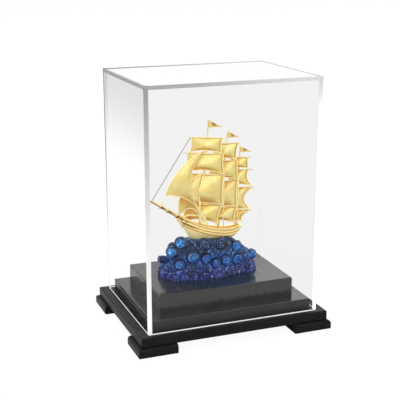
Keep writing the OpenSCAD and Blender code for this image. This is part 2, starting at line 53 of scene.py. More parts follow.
BLACK_WORN = (0.019, 0.0185, 0.0175)
GRAIN_LIE = (0.12, 1, 1)


class Shade:
    """A value in a finish's nodes. Sums on it add the Math nodes that they need, and a | b is
    the larger of the two."""

    def __init__(self, tree, socket=None):
        self.tree, self.socket = tree, socket

    def node(self, kind, settings=None, sockets=None, out=0):
        """Any node: its settings first, then the values or links of its sockets."""
        made = self.tree.nodes.new("ShaderNode" + kind)
        for key, value in (settings or {}).items():
            setattr(made, key, value)
        for key, value in (sockets or {}).items():
            if isinstance(value, Shade):
                self.tree.links.new(value.socket, made.inputs[key])
            else:
                made.inputs[key].default_value = value
        return Shade(self.tree, made.outputs[out] if made.outputs else None)

    def math(self, operation, first, second=0.0):
        return self.node("Math", {"operation": operation}, {0: first, 1: second})

    def __add__(self, other):
        return self.math("ADD", self, other)

    def __sub__(self, other):
        return self.math("SUBTRACT", self, other)

    def __rsub__(self, other):
        return self.math("SUBTRACT", other, self)

    def __mul__(self, other):
        return self.math("MULTIPLY", self, other)

    def __or__(self, other):
        return self.math("MAXIMUM", self, other)

    def __neg__(self):
        return self * -1

    __radd__, __rmul__, __ror__ = __add__, __mul__, __or__

    def axis(self, name):
        """The part X, Y or Z of a place or a direction."""
        return self.node("SeparateXYZ", {}, {0: self}, out=name)

    def above(self, start, end):
        """0 below start and 1 above end, with a smooth way between."""
        return self.node("MapRange", {"interpolation_type": "SMOOTHSTEP"},
                         {0: self, 1: start, 2: end})

    def tint(self, low, high):
        """The colour that goes from low, where this is 0, to high, where it is 1."""
        ends = {6: low if isinstance(low, Shade) else (*low, 1),
                7: high if isinstance(high, Shade) else (*high, 1)}
        return self.node("Mix", {"data_type": "RGBA"}, {0: self, **ends}, out=2)

    def deeper(self, share):
        """The same colour, darkened to a share of its light."""
        return self.node("VectorMath", {"operation": "SCALE"}, {0: self, "Scale": share})


def new_finish(name):
    """A new finish, the start of its nodes, and the place on the piece in metres."""
    finish = bpy.data.materials.new(name)
    finish.use_nodes = True
    finish.node_tree.nodes.clear()
    shade = Shade(finish.node_tree)
    return finish, shade, shade.node("TexCoord", out="Object")


def coat(shade, **sockets):
    """Ends a finish in one Principled shader, whose sockets are given by name."""
    named = {key.replace("_", " "): value for key, value in sockets.items()}
    surface = shade.node("BsdfPrincipled", {}, named)
    shade.node("OutputMaterial", {}, {"Surface": surface})


def noise(place, scale, detail=2.0, rough=0.5, stretch=(1, 1, 1)):
    """Cloudy marks, scale to the metre. They run long where stretch is less than 1."""
    stretched = place.node("Mapping", {}, {"Vector": place, "Scale": stretch})
    return place.node("TexNoise", {}, {"Vector": stretched, "Scale": scale, "Detail": detail,
                                       "Roughness": rough})


def bump(place, height, strength, distance):
    return place.node("Bump", {}, {"Height": height, "Strength": strength, "Distance": distance})


def dress(finish, *nodes):
    """Gives pieces this finish in place of their plain one."""
    for node in nodes:
        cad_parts[node].data.materials.clear()
        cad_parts[node].data.materials.append(finish)


black_lacquer, shade, place = new_finish("black_lacquer")
grain = noise(place, 900, 4, 0.6, GRAIN_LIE)
coat(shade, Base_Color=grain.above(0.35, 0.75).tint(BLACK, BLACK_WORN),
     Roughness=0.26 + 0.06 * grain, IOR=1.15, Normal=bump(place, grain, 0.02, 0.1 * MM))
dress(black_lacquer, "base_board", "foot_front_left", "foot_front_right", "foot_rear_left",
      "foot_rear_right")


# ---- Screws ----
# Zinc-plated countersunk wood screws, from below: eight for the feet, four for the plinth.
# They are turned and rolled, so the fine marks run round the shank.
ZINC_DULL, ZINC_BRIGHT = (0.42, 0.42, 0.43), (0.62, 0.62, 0.6)
zinc, shade, place = new_finish("zinc_plate")
rolled = noise(place, 2200, 2, 0.5, (0.2, 0.2, 1))
coat(shade, Base_Color=rolled.tint(ZINC_DULL, ZINC_BRIGHT), Metallic=1.0,
     Roughness=0.3 + 0.2 * rolled, Normal=bump(place, rolled, 0.2, 0.1 * MM))
dress(zinc, "foot_screws", "plinth_screws")


# ---- Plinth ----
# Two tiers of wood, sprayed satin dark grey. The lacquer is smooth enough to carry a soft
# reflection of what stands on it, and it is a little uneven where it was polished by hand.
GREY_LOW, GREY_HIGH = (0.030, 0.0295, 0.028), (0.044, 0.043, 0.041)
LOWER_GREY, PALER_GREY, PAINTED_BLUE_LIGHT = (0.024, 0.0235, 0.0225), (0.056, 0.055, 0.053), (0.006, 0.026, 0.048)
ARRIS, RAGGED = 1.8 * MM, 9 * MM
# Half length and half breadth of the blue light on the top, and how far in front its middle is.
LIGHT_L, LIGHT_B, LIGHT_AHEAD = 45 * MM, 34 * MM, 12 * MM
lower_top, upper_top = (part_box(tier)[1].z for tier in ("lower_tier", "upper_tier"))
satin_grey, shade, place = new_finish("satin_grey_lacquer")
cloud = noise(place, 45, 3, 0.6)
smear = noise(place, 200, 2, 0.5, (1, 1, 0.1))
x, y, z = (place.axis(name) for name in "XYZ")
# Painted light and reflection: blue from the resin is painted into the colour of the polished top,
# round its foot and in front of it.
wide, deep_in = x * (1 / LIGHT_L), (y + LIGHT_AHEAD) * (1 / LIGHT_B)
thrown = 1 - (wide * wide + deep_in * deep_in).above(0.55, 1.05)
thrown = thrown * z.above(upper_top - 0.5 * MM, upper_top - 0.1 * MM)
# The sides of the upper tier are a paler grey, down to a ragged line. The lower tier is a darker
# grey.
ragged = z + (noise(place, 240, 3, 0.7, (1, 1, 0.15)) - 0.5) * RAGGED
paler_band = ragged.above(lower_top + 3.7 * MM, lower_top + 6.5 * MM)
paler_band = paler_band * (1 - z.above(upper_top - 0.9 * MM, upper_top - 0.3 * MM))
on_lower = 1 - z.above(lower_top - 1.0 * MM, lower_top - 0.4 * MM)
grey = on_lower.tint(cloud.above(0.3, 0.7).tint(GREY_LOW, GREY_HIGH), LOWER_GREY)
coat(shade, Base_Color=thrown.tint(paler_band.tint(grey, PALER_GREY), PAINTED_BLUE_LIGHT),
     Roughness=0.13 + 0.06 * cloud, IOR=1.5, Normal=bump(place, smear, 0.02, 0.2 * MM))
dress(satin_grey, "lower_tier", "upper_tier")
for tier in ("lower_tier", "upper_tier"):
    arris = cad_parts[tier].modifiers.new("rubbed arris", "BEVEL")
    arris.width, arris.segments, arris.angle_limit = ARRIS, 3, math.radians(60)


# ---- Wave ----
# One casting in clear blue resin: a long swell with rolled crests that stand out all round it.
# Each crest ends in a spiral of thin cords that run up to it from the foot of the swell.
PLINTH_TOP = upper_top / MM
WAVE_L, WAVE_B, WAVE_H, WAVE_X, WAVE_LEAN = 89.0, 39.0, 32.0, -1.0, 2.0
# Height, length and breadth of the swell from its foot up, as shares of the whole.
SWELL = [(0, 1, 1), (0.12, 0.99, 0.98), (0.28, 0.95, 0.93), (0.45, 0.88, 0.86),
         (0.62, 0.74, 0.76), (0.8, 0.6, 0.64), (0.93, 0.49, 0.5), (1, 0.4, 0.34)]
# The power that squares off the oval outline of the swell.
SQUARE = 0.85
# Middle of each crest as shares of half the length, half the breadth and the height, its radius,
# the way it faces in degrees, with 0 to the front, and how clear it is.
CRESTS = [
    (-1, -0.21, 0.56, 3.4, -105, 0.05), (-0.84, -0.41, 0.78, 5, -15, 1),
    (-0.65, -0.41, 1.01, 5.4, -12, 1), (-0.45, -0.72, 0.64, 5.5, -12, 0.4),
    (-0.2, -0.82, 0.55, 4.6, 0, 0.25), (-0.18, -0.51, 0.91, 5.4, -5, 0.08),
    (0.15, -0.51, 0.88, 5.4, -5, 0.08), (-0.01, -0.49, 0.94, 3, 0, 0.2),
    (0.53, -0.44, 0.74, 4.8, -8, 1), (0.9, -0.21, 0.39, 4.6, 15, 0.9),
    (-0.01, -0.87, 0.41, 4, 0, 0.2), (0.22, -0.82, 0.44, 4.6, 5, 0.25),
    (0.47, -0.72, 0.42, 4.8, 5, 0.3), (0.7, -0.51, 0.42, 4.4, 10, 0.25),
    (-0.7, -0.62, 0.44, 4.8, -20, 0.3), (-0.67, 0.46, 0.7, 5, 195, 0.9),
    (-0.47, 0.56, 0.81, 5.2, 185, 0.8), (-0.16, 0.56, 0.84, 5.2, 180, 0.3),
    (0.18, 0.56, 0.81, 5.2, 175, 0.3), (0.47, 0.46, 0.7, 4.8, 170, 0.9),
    (0.76, 0.31, 0.42, 4.6, 160, 0.7), (-0.65, 0.62, 0.41, 4.8, 195, 0.4),
    (-0.31, 0.77, 0.47, 5, 180, 0.5), (0.07, 0.79, 0.44, 5, 180, 0.4),
    (0.43, 0.72, 0.39, 4.8, 175, 0.4)]
CREST_LEN, CREST_SIDES = 8.0, 28
# The dome of a crest's face: how far along the crest each ring lies, and its share of the radius.
DOME = [(0.46, 0.06), (0.45, 0.35), (0.41, 0.62), (0.33, 0.84), (0.2, 0.97), (0.05, 1.0),
        (-0.12, 0.97), (-0.3, 0.9)]
# Rows of cords round the swell: the height of each and how many stand in it.
CORD_ROWS = [(1.0, 14), (0.9, 20), (0.78, 22), (0.64, 24), (0.5, 26), (0.36, 26), (0.22, 28),
             (0.08, 28)]
CORD_H, CREST_BULGE, CURL_BULGE, TAIL = 0.62, 0.3, 1.2, 2.6
RESIN_GRAIN = 0.36
luck = random.Random(7)


def add_piece(name, shells, finish):
    """A piece from closed shells of (points in millimetres, faces), with its faces turned out."""
    points, faces = [], []
    for shell_points, shell_faces in shells:
        start = len(points)
        points += [tuple(float(v) * MM for v in p) for p in shell_points]
        faces += [[start + i for i in f] for f in shell_faces]
    mesh = bpy.data.meshes.new(name)
    mesh.from_pydata(points, [], faces)
    work = bmesh.new()
    work.from_mesh(mesh)
    bmesh.ops.recalc_face_normals(work, faces=work.faces)
    work.to_mesh(mesh)
    work.free()
    mesh.shade_smooth()
    mesh.materials.append(finish)
    piece = bpy.data.objects.new(name, mesh)
    bpy.context.scene.collection.objects.link(piece)
    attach(piece, "base")
    return piece


def ringed(rings):
    """A closed shell through a row of rings, closed flat at both ends."""
    m, n = len(rings), len(rings[0])
    points = [p for ring in rings for p in ring]
    faces = [[j * n + i, j * n + (i + 1) % n, (j + 1) * n + (i + 1) % n, (j + 1) * n + i]
             for j in range(m - 1) for i in range(n)]
    return points, faces + [list(range(n - 1, -1, -1)), [(m - 1) * n + i for i in range(n)]]


def frames_along(path):
    """Each point of a path, with two directions across it that don't twist on the way."""
    count = len(path)
    across = None
    for i, p in enumerate(path):
        tangent = (path[min(i + 1, count - 1)] - path[max(i - 1, 0)]).normalized()
        if across is None:
            across = tangent.orthogonal().normalized()
        across = (across - tangent * across.dot(tangent)).normalized()
        yield p, across, tangent.cross(across)


def rope(path, radii, sides=8):
    """A round closed bar along a path, with one radius or one for each point."""
    path = [Vector(p) for p in path]
    if isinstance(radii, (int, float)):
        radii = [radii] * len(path)
    rings = []
    for (p, a, b), radius in zip(frames_along(path), radii):
        rings.append([p + (a * math.cos(t) + b * math.sin(t)) * radius
                      for t in (2 * math.pi * i / sides for i in range(sides))])
    return ringed(rings)


def bent(value, power):
    """The value to a power, with its sign kept. It squares an oval off."""
    return math.copysign(abs(value) ** power, value)


def swell_size(height):
    """Half length, half breadth and middle of the swell at a share of its height."""
    height = min(max(height, 0), 1)
    rows = np.array(SWELL)
    return (WAVE_L / 2 * float(np.interp(height, rows[:, 0], rows[:, 1])),
            WAVE_B / 2 * float(np.interp(height, rows[:, 0], rows[:, 2])),
            WAVE_X - WAVE_LEAN * height)


def swell_point(a, height, lift=0.0):
    """A point of the swell at angle a, moved out level by lift."""
    long, broad, middle = swell_size(height)
    c, s = math.cos(a), math.sin(a)
    out = Vector((c / long, s / broad, 0)).normalized() * lift
    return Vector((middle + long * bent(c, SQUARE), broad * bent(s, SQUARE),
                   PLINTH_TOP + WAVE_H * height)) + out


def swell_ring(height, count=120):
    """One level outline of the swell, with shallow ripples."""
    ring = []
    for i in range(count):
        a = 2 * math.pi * i / count
        ripple = 0.9 * math.sin(7 * a + 3.67 * height) + 0.6 * math.sin(12 * a - 5.59 * height)
        ring.append(swell_point(a, height, ripple))
    return ring


def crest_frame(middle, turn):
    """Middle and the right, out and up directions of a crest that faces turn degrees."""
    t = math.radians(turn)
    return (Vector(middle), Vector((math.cos(t), math.sin(t), 0)),
            Vector((math.sin(t), -math.cos(t), 0)), Vector((0, 0, 1)))


def crest_shell(middle, turn, radius, length, root):
    """The round body of a crest, domed at its face, that runs back to its root in the swell."""
    centre, right, out, up = crest_frame(middle, turn)
    back = centre - out * length * 0.3
    stops = [(centre + out * (length * along), radius * wide) for along, wide in DOME]
    stops += [(back.lerp(Vector(root), step), radius * (0.9 - 0.25 * step))
              for step in (0.4, 0.75, 1.0)]
    sweep = [2 * math.pi * i / CREST_SIDES for i in range(CREST_SIDES)]
    return ringed([[base + (right * math.cos(a) + up * math.sin(a)) * reach for a in sweep]
                   for base, reach in stops])


crests = []
for across, deep, high, radius, turn, clear in CRESTS:
    x, y, z = across * WAVE_L / 2, deep * WAVE_B / 2, high * WAVE_H
    root = (WAVE_X + 0.8 * x, 0.5 * y, PLINTH_TOP + max(z - 1.6 * radius, 0.75 * radius))
    crests.append(((WAVE_X + x, y, PLINTH_TOP + z), turn, radius, CREST_LEN, root, clear))
shells = [ringed([swell_ring(h / 16) for h in range(17)])]
shells += [crest_shell(*crest[:5]) for crest in crests]

blue_resin, shade, place = new_finish("blue_resin")
wave = add_piece("wave_casting", shells, blue_resin)
melt = wave.modifiers.new("melt", "REMESH")
melt.mode, melt.voxel_size, melt.use_smooth_shade = "VOXEL", RESIN_GRAIN * MM, True
solid = bpy.data.meshes.new_from_object(wave.evaluated_get(bpy.context.evaluated_depsgraph_get()))
wave.modifiers.clear()
wave.data = solid


def read(items, field, width):
    values = np.empty(len(items) * width)
    items.foreach_get(field, values)
    return values.reshape(-1, width)


spot = read(solid.vertices, "co", 3) / MM
facing = read(solid.vertex_normals, "vector", 3)
ends = read(solid.edges, "vertices", 2).astype(int)
links = np.bincount(ends.ravel(), minlength=len(spot))


def spread(values):
    """Each vertex's mean of its neighbours' values."""
    return np.bincount(ends.ravel(), weights=values[ends[:, ::-1].ravel()],
                       minlength=len(values)) / links


# Every curl is an arch of cords: they wind to a spiral in its head and run down beside it.
curls = []
for height, count in CORD_ROWS:
    for i in range(count):
        a = 2 * math.pi * (i + luck.uniform(-0.4, 0.4)) / count
        here = min(height + luck.uniform(-0.06, 0.06), 1.0)
        on, off = swell_point(a, here), swell_point(a, here, 1.0)
        turn = math.degrees(math.atan2(off.x - on.x, on.y - off.y)) + luck.uniform(-15, 15)
        curls.append((on, turn, luck.uniform(3.0, 5.8), luck.uniform(1.5, 2.1),
                      luck.choice((-1, 1)), luck.uniform(-0.9, 0.9),
                      luck.uniform(0.0, 0.5) ** 1.5, False))
for order, (middle, turn, radius, length, root, clear) in enumerate(crests):
    curls.append((middle, turn, radius * 1.02, radius / 2.3, 1 if order % 2 else -1, 0.0, clear,
                  True))

push = np.zeros(len(spot))
ridge, rim, glow = np.full(len(spot), 0.5), np.zeros(len(spot)), np.zeros(len(spot))
for middle, turn, radius, pitch, hand, lean, clear, crest in curls:
    centre, right, out, up = (np.array(v) for v in crest_frame(middle, turn))
    off = spot - centre
    ahead, across, rise = off @ out, off @ right, off @ up
    fall = np.minimum(rise, 0)
    if not crest:
        across = across + lean * fall
        r = np.hypot(across, np.maximum(rise, 0))
        turned = np.where(rise > 0, np.arctan2(rise, across), np.where(across > 0, 0, math.pi))
        tail = TAIL * radius
        near = (r < radius) & (abs(ahead) < radius) & (rise > -tail) & (facing @ out > 0.1)
        fade = np.clip((rise + tail) / (0.7 * tail), 0, 1)
    else:
        r, turned = np.hypot(across, rise), np.arctan2(rise, across)
        near = (r < radius * 1.1) & (ahead > -0.25 * CREST_LEN) & (ahead < 0.6 * CREST_LEN)
        fade = 1.0
    cords = 0.5 + 0.5 * np.cos(2 * math.pi * (r / pitch - hand * turned / (2 * math.pi)))
    share = r / radius
    dome = np.sqrt(np.clip(1 - share ** 2, 0, 1)) * (CREST_BULGE if crest else CURL_BULGE)
    cords = 0.5 + (cords - 0.5) * (1 - 0.7 * clear)
    lift = fade * (dome + CORD_H * (cords - 0.5))
    push = np.where(near, lift, push)
    ridge = np.where(near, 0.5 + fade * (cords - 0.5), ridge)
    # Painted shade in a dark rim round each curl, and painted light in the core of the clear ones,
    # a little below and beside its middle.
    rim = np.where(near, fade * np.clip((share - 0.72) / 0.2, 0, 1), rim)
    inner = np.hypot(across + 0.2 * radius, rise + 0.25 * radius) / radius
    core = np.clip(1.3 - inner, 0, 1) * np.clip(1 + fall / (0.9 * radius), 0, 1)
    glow = np.where(near, core * clear, glow)
push = 0.5 * push + 0.5 * spread(push)
spot = spot + facing * push[:, None]
spot[:, 2] = np.maximum(spot[:, 2], PLINTH_TOP)
solid.vertices.foreach_set("co", (spot * MM).ravel())


def paint(mesh, name, values):
    """Keeps one value for each point of a mesh, for its finish to read."""
    mask = mesh.attributes.new(name, "FLOAT", "POINT")
    mask.data.foreach_set("value", np.asarray(values, dtype=np.float32))


for name, values in (("rim", rim), ("glow", glow), ("ridge", ridge)):
    paint(solid, name, values)
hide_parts("wave")


def painted(shade, name):
    return shade.node("Attribute", {"attribute_name": name}, out="Fac")


VIOLET = (0.016, 0.018, 0.13), (0.050, 0.064, 0.40)
ROYAL = (0.005, 0.036, 0.20), (0.014, 0.135, 0.56)
NAVY = (0.006, 0.018, 0.050), (0.034, 0.070, 0.16)
# Colours of the painted light in the clear curls, of the painted highlights and of the painted dark
# rims.
AZURE, SKY = ((0.008, 0.11, 0.56), (0.07, 0.46, 1.0)), (0.38, 0.76, 1.0)
RIDGE_PALE, STROKE_PALE, GLINT_PALE = (0.40, 0.58, 0.94), (0.22, 0.38, 0.84), (0.66, 0.74, 0.90)
CREST_RIM = (0.001, 0.010, 0.04)
height = place.axis("Z").above((PLINTH_TOP + 1) * MM, (PLINTH_TOP + 30) * MM)
ridges = painted(shade, "ridge")
sparkle = noise(place, 420, 2, 0.5).above(0.52, 0.7)
depth = noise(place, 90, 2, 0.5).above(0.35, 0.65)
# Violet at the foot, royal blue above it, and navy, nearly black, over the top, each darker and
# lighter in random patches.
upper = height.above(0.62, 0.95).tint(depth.tint(*ROYAL), depth.tint(*NAVY))
deep = height.above(0.02, 0.4).tint(depth.tint(*VIOLET), upper)
# Painted light in the clear curls: azure cores, with sky-blue glints where it is brightest.
flare = noise(place, 420, 2, 0.6)
azure = (flare.above(0.56, 0.66) * 0.9).tint(flare.above(0.4, 0.56).tint(*AZURE), SKY)
clear = painted(shade, "glow") * height.above(0.0, 0.7)
lit = clear.tint(deep, azure)
# Painted shade in the grooves between the cords, lighter in the clear curls.
cut = ridges.above(0.1, 0.55).tint(clear.tint(lit.deeper(0.13), lit.deeper(0.45)), lit)
# Painted highlights: short bright strokes where the casting gathers light, pale tops on the ridges,
# and a few white glints along its foot.
stroke = noise(place, 700, 1, 0.5, (1, 1, 0.22)).above(0.6, 0.68) * 0.5
glint = noise(place, 420, 1, 0.5, (1, 1, 0.35)).above(0.7, 0.76) * (1 - height.above(0.0, 0.3))
pale = (ridges.above(0.6, 1.0) * sparkle * 0.8).tint(cut, RIDGE_PALE)
pale = (glint * 0.7).tint(stroke.tint(pale, STROKE_PALE), GLINT_PALE)
# Painted shade: a dark rim round each curl.
body = (painted(shade, "rim") * 0.85).tint(pale, CREST_RIM)
# The finish is opaque, and light of its own stands in for what shines through the resin.
coat(shade, Base_Color=body, Roughness=0.1 + 0.1 * depth, IOR=1.4, Emission_Color=body,
     Emission_Strength=0.25, Normal=bump(place, sparkle, 0.15, 0.2 * MM))


# ---- Keel pins ----
# Two lengths of plain brass rod that hold the hull down on the casting. They are hidden once
# the ship is on, and keep the marks of the draw plate.
BRASS_DULL, BRASS_BRIGHT = (0.55, 0.38, 0.14), (0.74, 0.55, 0.24)
brass, shade, place = new_finish("brass_rod")
drawn = noise(place, 1500, 2, 0.5, (1, 1, 0.05))
coat(shade, Base_Color=drawn.tint(BRASS_DULL, BRASS_BRIGHT), Metallic=1.0,
     Roughness=0.28 + 0.2 * drawn, Normal=bump(place, drawn, 0.2, 0.1 * MM))
dress(brass, "keel_pins")


# ---- Hull ----
# A light shell cast in brass with its planks cut in, then gold-plated like the rest of the
# ship. The plating is bright on raised edges and has painted shade, warmer in the seams.
HULL_X, HULL_L, BEAM, KEEL_H, RAIL_H = 1.0, 56.0, 11.6, 27.0, 38.0
BOW_SHEER, STERN_SHEER, LOW_X, STEM_DEPTH, TRANSOM_DEPTH = 14.3, 1.9, 17.0, 1.6, 4.5
BULWARK, WELL, STEM_HALF = 1.1, 2.6, 0.7
BOW_X, STERN_X = HULL_X - HULL_L / 2, HULL_X + HULL_L / 2
PLANKS, SEAM = 7, 0.16
STATIONS, WELL_FIRST, WELL_LAST = 90, 15, 85
WELL_FROM, WELL_TO = WELL_FIRST / STATIONS, WELL_LAST / STATIONS
# How far under the rail the lines of painted shade run, below the cap and the wales.
WALE_SHADE = [0.35, 3.2, 5.85]
# Painted shade at the bow: in the hollow under its head, which begins at RECESS_X, and at the
# hawse.
RECESS_X, RECESS_DROP, HAWSE_X, HAWSE_DROP = -11, 3.7, -22.3, 0.9
# Paler and fuller colour of the plating, and the colour of its painted shade.
SHEET_GOLD = (0.96, 0.75, 0.24), (1.0, 0.88, 0.38), (0.70, 0.31, 0.03)
HULL_GOLD = (1.0, 0.76, 0.30), (1.0, 0.90, 0.50), (0.34, 0.17, 0.03)
SPAR_GOLD = (0.99, 0.84, 0.40), (1.0, 0.92, 0.56), (0.20, 0.09, 0.015)
RUBBED_GOLD, GLOW_GOLD = ((0.99, 0.83, 0.38), (1.0, 0.93, 0.54)), (1.0, 0.86, 0.42, 1)
STREAK, SHADE_ORANGE = (0.92, 0.58, 0.11), (0.74, 0.41, 0.08)


def plated(name, low, high, warm, metallic, reach, under, lift=0.06):
    """Gold plate, from its paler to its fuller colour, with painted shade: it goes to a warmer,
    darker colour within reach of other metal and on faces that look down, and darker still where
    shade is painted on the piece. It is only partly metallic, and gives off a little light of its
    own, lift."""
    finish, shade, place = new_finish(name)
    cloud = noise(place, 120, 3, 0.55)
    satin = noise(place, 700, 3, 0.6)
    crumple = noise(place, 230, 3, 0.6, (0.45, 0.45, 1))
    open_air = shade.node("AmbientOcclusion", {"samples": 6}, {"Distance": reach}, out="AO")
    # Painted shade: within reach of other metal, and on faces that look down.
    hidden = 1 - open_air.above(0.1, 0.65)
    down = (-shade.node("TexCoord", out="Normal").axis("Z")).above(0.0, 0.6) * under
    colour = (hidden | down).tint(cloud.above(0.3, 0.7).tint(low, high), warm)
    colour = (crumple.above(0.48, 0.7) * 0.4).tint(colour, STREAK)
    # Shade painted on the piece: orange at first, then dark.
    painted_shade = painted(shade, "painted_shade") * (cloud.above(0.3, 0.6) * 0.5 + 0.5)
    colour = painted_shade.above(0.0, 0.5).tint(colour, SHADE_ORANGE)
    colour = (painted_shade.above(0.5, 1.0) * 0.9).tint(colour, tuple(0.5 * part for part in warm))
    coat(shade, Base_Color=colour, Metallic=metallic * (1 - 0.8 * down),
         Roughness=0.34 + 0.14 * satin, Emission_Color=colour, Emission_Strength=lift,
         Normal=bump(place, crumple, 0.35, 0.6 * MM))
    return finish


gold_plate = plated("gold_plate", *SHEET_GOLD, 0.45, 9 * MM, 0.85)
hull_gold = plated("hull_gold", *HULL_GOLD, 0.2, 1.6 * MM, 0.1, 0.2)
spar_gold = plated("spar_gold", *SPAR_GOLD, 0.4, 1.2 * MM, 1.0)
# Rolled edges and mouldings are burnished after plating. They too give off light of their own.
bright_gold, shade, place = new_finish("burnished_gold")
rubbed = noise(place, 400, 2, 0.5)
coat(shade, Base_Color=rubbed.tint(*RUBBED_GOLD), Metallic=0.85,
     Roughness=0.24 + 0.12 * rubbed, Emission_Color=GLOW_GOLD, Emission_Strength=0.28)


def ship_piece(name, shells, finish, node, sharp=None):
    """A gilt piece of the ship. Its edges stay crisp where they turn by more than sharp degrees."""
    piece = add_piece(name, shells, finish)
    if sharp:
        piece.data.set_sharp_from_angle(angle=math.radians(sharp))
    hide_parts(node)
    return piece


def rail_z(x):
    """Height of the rail, which sweeps up to the bow and a little to the stern."""
    return (PLINTH_TOP + RAIL_H + BOW_SHEER * max(0, (LOW_X - x) / (LOW_X - BOW_X)) ** 1.7
            + STERN_SHEER * max(0, (x - LOW_X) / (STERN_X - LOW_X)) ** 2)


def half_beam(x):
    e = 2 * (x - HULL_X) / HULL_L
    full = max(0, 1 - (-e) ** 2.4) ** 0.8 if e < 0 else 1 - 0.42 * e ** 3
    return max(STEM_HALF, BEAM / 2 * full)


def keel_z(x):
    e = 2 * (x - HULL_X) / HULL_L
    low = PLINTH_TOP + KEEL_H
    return low + (rail_z(x) - (STEM_DEPTH if e < 0 else TRANSOM_DEPTH) - low) * abs(e) ** 3


def station(t):
    """Place along the hull for t from 0 at the stem to 1 at the stern, closer at both ends."""
    return BOW_X + HULL_L * (1 - math.cos(math.pi * t)) / 2


def skin(x, share):
    """Half breadth and height on the hull's side, for share 0 at the keel to 1 at the rail."""
    a = math.acos(1 - share)
    return half_beam(x) * math.sin(a) ** 0.85, keel_z(x) + (rail_z(x) - keel_z(x)) * share


def hull_ring(x, depth, ribs=36):
    """The hull's section at x: round its planked outside, then back across the top or the well."""
    ring = []
    for i in range(-ribs, ribs + 1):
        share = 1 - math.cos(math.pi / 2 * abs(i) / ribs)
        y, z = skin(x, share)
        board = share * PLANKS % 1.0
        seam = max(0.0, 1 - min(board, 1 - board) / 0.12) if share < 0.99 else 0.0
        ring.append((x, math.copysign(max(0.0, y - SEAM * seam), i), z))
    inner = max(0.1, half_beam(x) - BULWARK)
    rows = [(1, 0), (1, 0.5), (1, 1)] + [(c / 4, 1) for c in (3, 2, 1, 0, -1, -2, -3)] + \
           [(-1, 1), (-1, 0.5), (-1, 0)]
    return ring + [(x, inner * across, rail_z(x) - depth * down) for across, down in rows]


rings = []
for k in range(STATIONS + 1):
    # The well has upright ends, so its first and last stations have two sections each.
    depths = [WELL] if WELL_FIRST <= k <= WELL_LAST else [0.0]
    if k == WELL_FIRST:
        depths = [0.0, WELL]
    if k == WELL_LAST:
        depths = [WELL, 0.0]
    rings += [hull_ring(station(k / STATIONS), depth) for depth in depths]
hull = ship_piece("ship_hull", [ringed(rings)], hull_gold, "hull", 40)
hx, _, hz = (read(hull.data.vertices, "co", 3) / MM).T
drop = np.array([rail_z(x) for x in hx]) - hz
# Painted shade: dark lines under the cap and the wales, in the hollow of the bow and at the hawse.
painted_dark = sum(np.exp(-((drop - at) / 0.4) ** 2) for at in WALE_SHADE)
painted_dark += np.clip((RECESS_X - hx) / 6, 0, 1) * np.clip(1.4 - abs(drop - RECESS_DROP) / 1.3, 0, 1)
painted_dark += np.exp(-((hx - HAWSE_X) / 1.5) ** 2 - ((drop - HAWSE_DROP) / 0.9) ** 2)
paint(hull.data, "painted_shade", np.clip(painted_dark, 0, 1))


# ---- Deck ----
# A thin plain plate let in between the bulwarks and soldered to them along its edges.
# It is plated with the hull and looks a deeper gold, because it lies in shade.
DECK_T, DECK_GAP = 0.9, 0.1


def sheer_band(narrow, low, high, first, last, count=60):
    """A plate that follows the sheer, narrower than the hull, between two stations."""
    rings = []
    for k in range(count + 1):
        x = station(first + (last - first) * k / count)
        w, z = half_beam(x) - narrow, rail_z(x)
        rings.append([(x, -w, z + low), (x, w, z + low), (x, w, z + high), (x, -w, z + high)])
    return ringed(rings)


ship_piece("ship_deck", [sheer_band(BULWARK + DECK_GAP, -WELL, DECK_T - WELL, WELL_FROM, WELL_TO)],
           gold_plate, "deck", 40)


# ---- Rail cap, wales and head ----
# Half-round strips soldered along the top of the bulwark and down the sides, and the knee that
# carries the bowsprit. They are the brightest lines on the hull.
CAP_H, CAP_PROUD, CAP_LAP = 0.9, 0.5, 0.2
WALE_H, WALE_PROUD, WALE_SUNK = 1.0, 0.55, 0.3
# How far under the rail each wale runs, and its first and last station.
WALES = [(1.8, 2 / 18, 1), (4.4, 3 / 18, 16 / 18)]


def moulding(section, count=70):
    """A strip whose section at x is given by points of (half breadth, height), on both sides."""
    shells = []
    for side in (-1, 1):
        rings = []
        for k in range(count + 1):
            x, outline = section(k / count)
            rings.append([(x, side * y, z) for y, z in outline])
        shells.append(ringed(rings))
    return shells


def cap_section(t):
    x = station(t)
    w, z = half_beam(x), rail_z(x)
    inner = max(0.0, w - BULWARK - CAP_LAP)
    outer = w + CAP_PROUD
    middle, half = (inner + outer) / 2, (outer - inner) / 2
    return x, [(middle + half * bent(math.cos(a), 0.6),
                z + CAP_H / 2 + CAP_H / 2 * bent(math.sin(a), 0.8))
               for a in (2 * math.pi * i / 14 for i in range(14))]


taffrail = [(STERN_X - 0.45, y, rail_z(STERN_X) + CAP_H / 2)
            for y in np.linspace(-half_beam(STERN_X), half_beam(STERN_X), 12)]
ship_piece("ship_rail_cap", moulding(cap_section) + [rope(taffrail, 0.45)], bright_gold,
           "rail_cap")


def wale_section(drop, first, last):
    def section(t):
        x = station(first + (last - first) * t)
        z = rail_z(x) - drop - WALE_H / 2
        share = max(0.0, (z - keel_z(x)) / (rail_z(x) - keel_z(x)))
        y = skin(x, share)[0] - WALE_SUNK
        return x, [(y + (WALE_PROUD + WALE_SUNK) * math.cos(a) * 0.9,
                    z + WALE_H / 2 * math.sin(a))
                   for a in (2 * math.pi * i / 10 for i in range(10))]
    return section


ship_piece("ship_wales", [shell for wale in WALES for shell in moulding(wale_section(*wale))],
           bright_gold, "wales")

STEM = Vector((BOW_X, 0, rail_z(BOW_X)))
# Points along the knee, from its foot to its tip, ahead of the stem's head and above it.
knee = [(2.2, -9.5), (0.4, -6.4), (-1.2, -3.2), (-3.4, 0.0), (-5.2, 2.0), (-6.6, 3.1)]
RAIL_POSTS, HEAD_RAIL_H = (-25.0, -22.8, -20.4, -18.0), 1.9


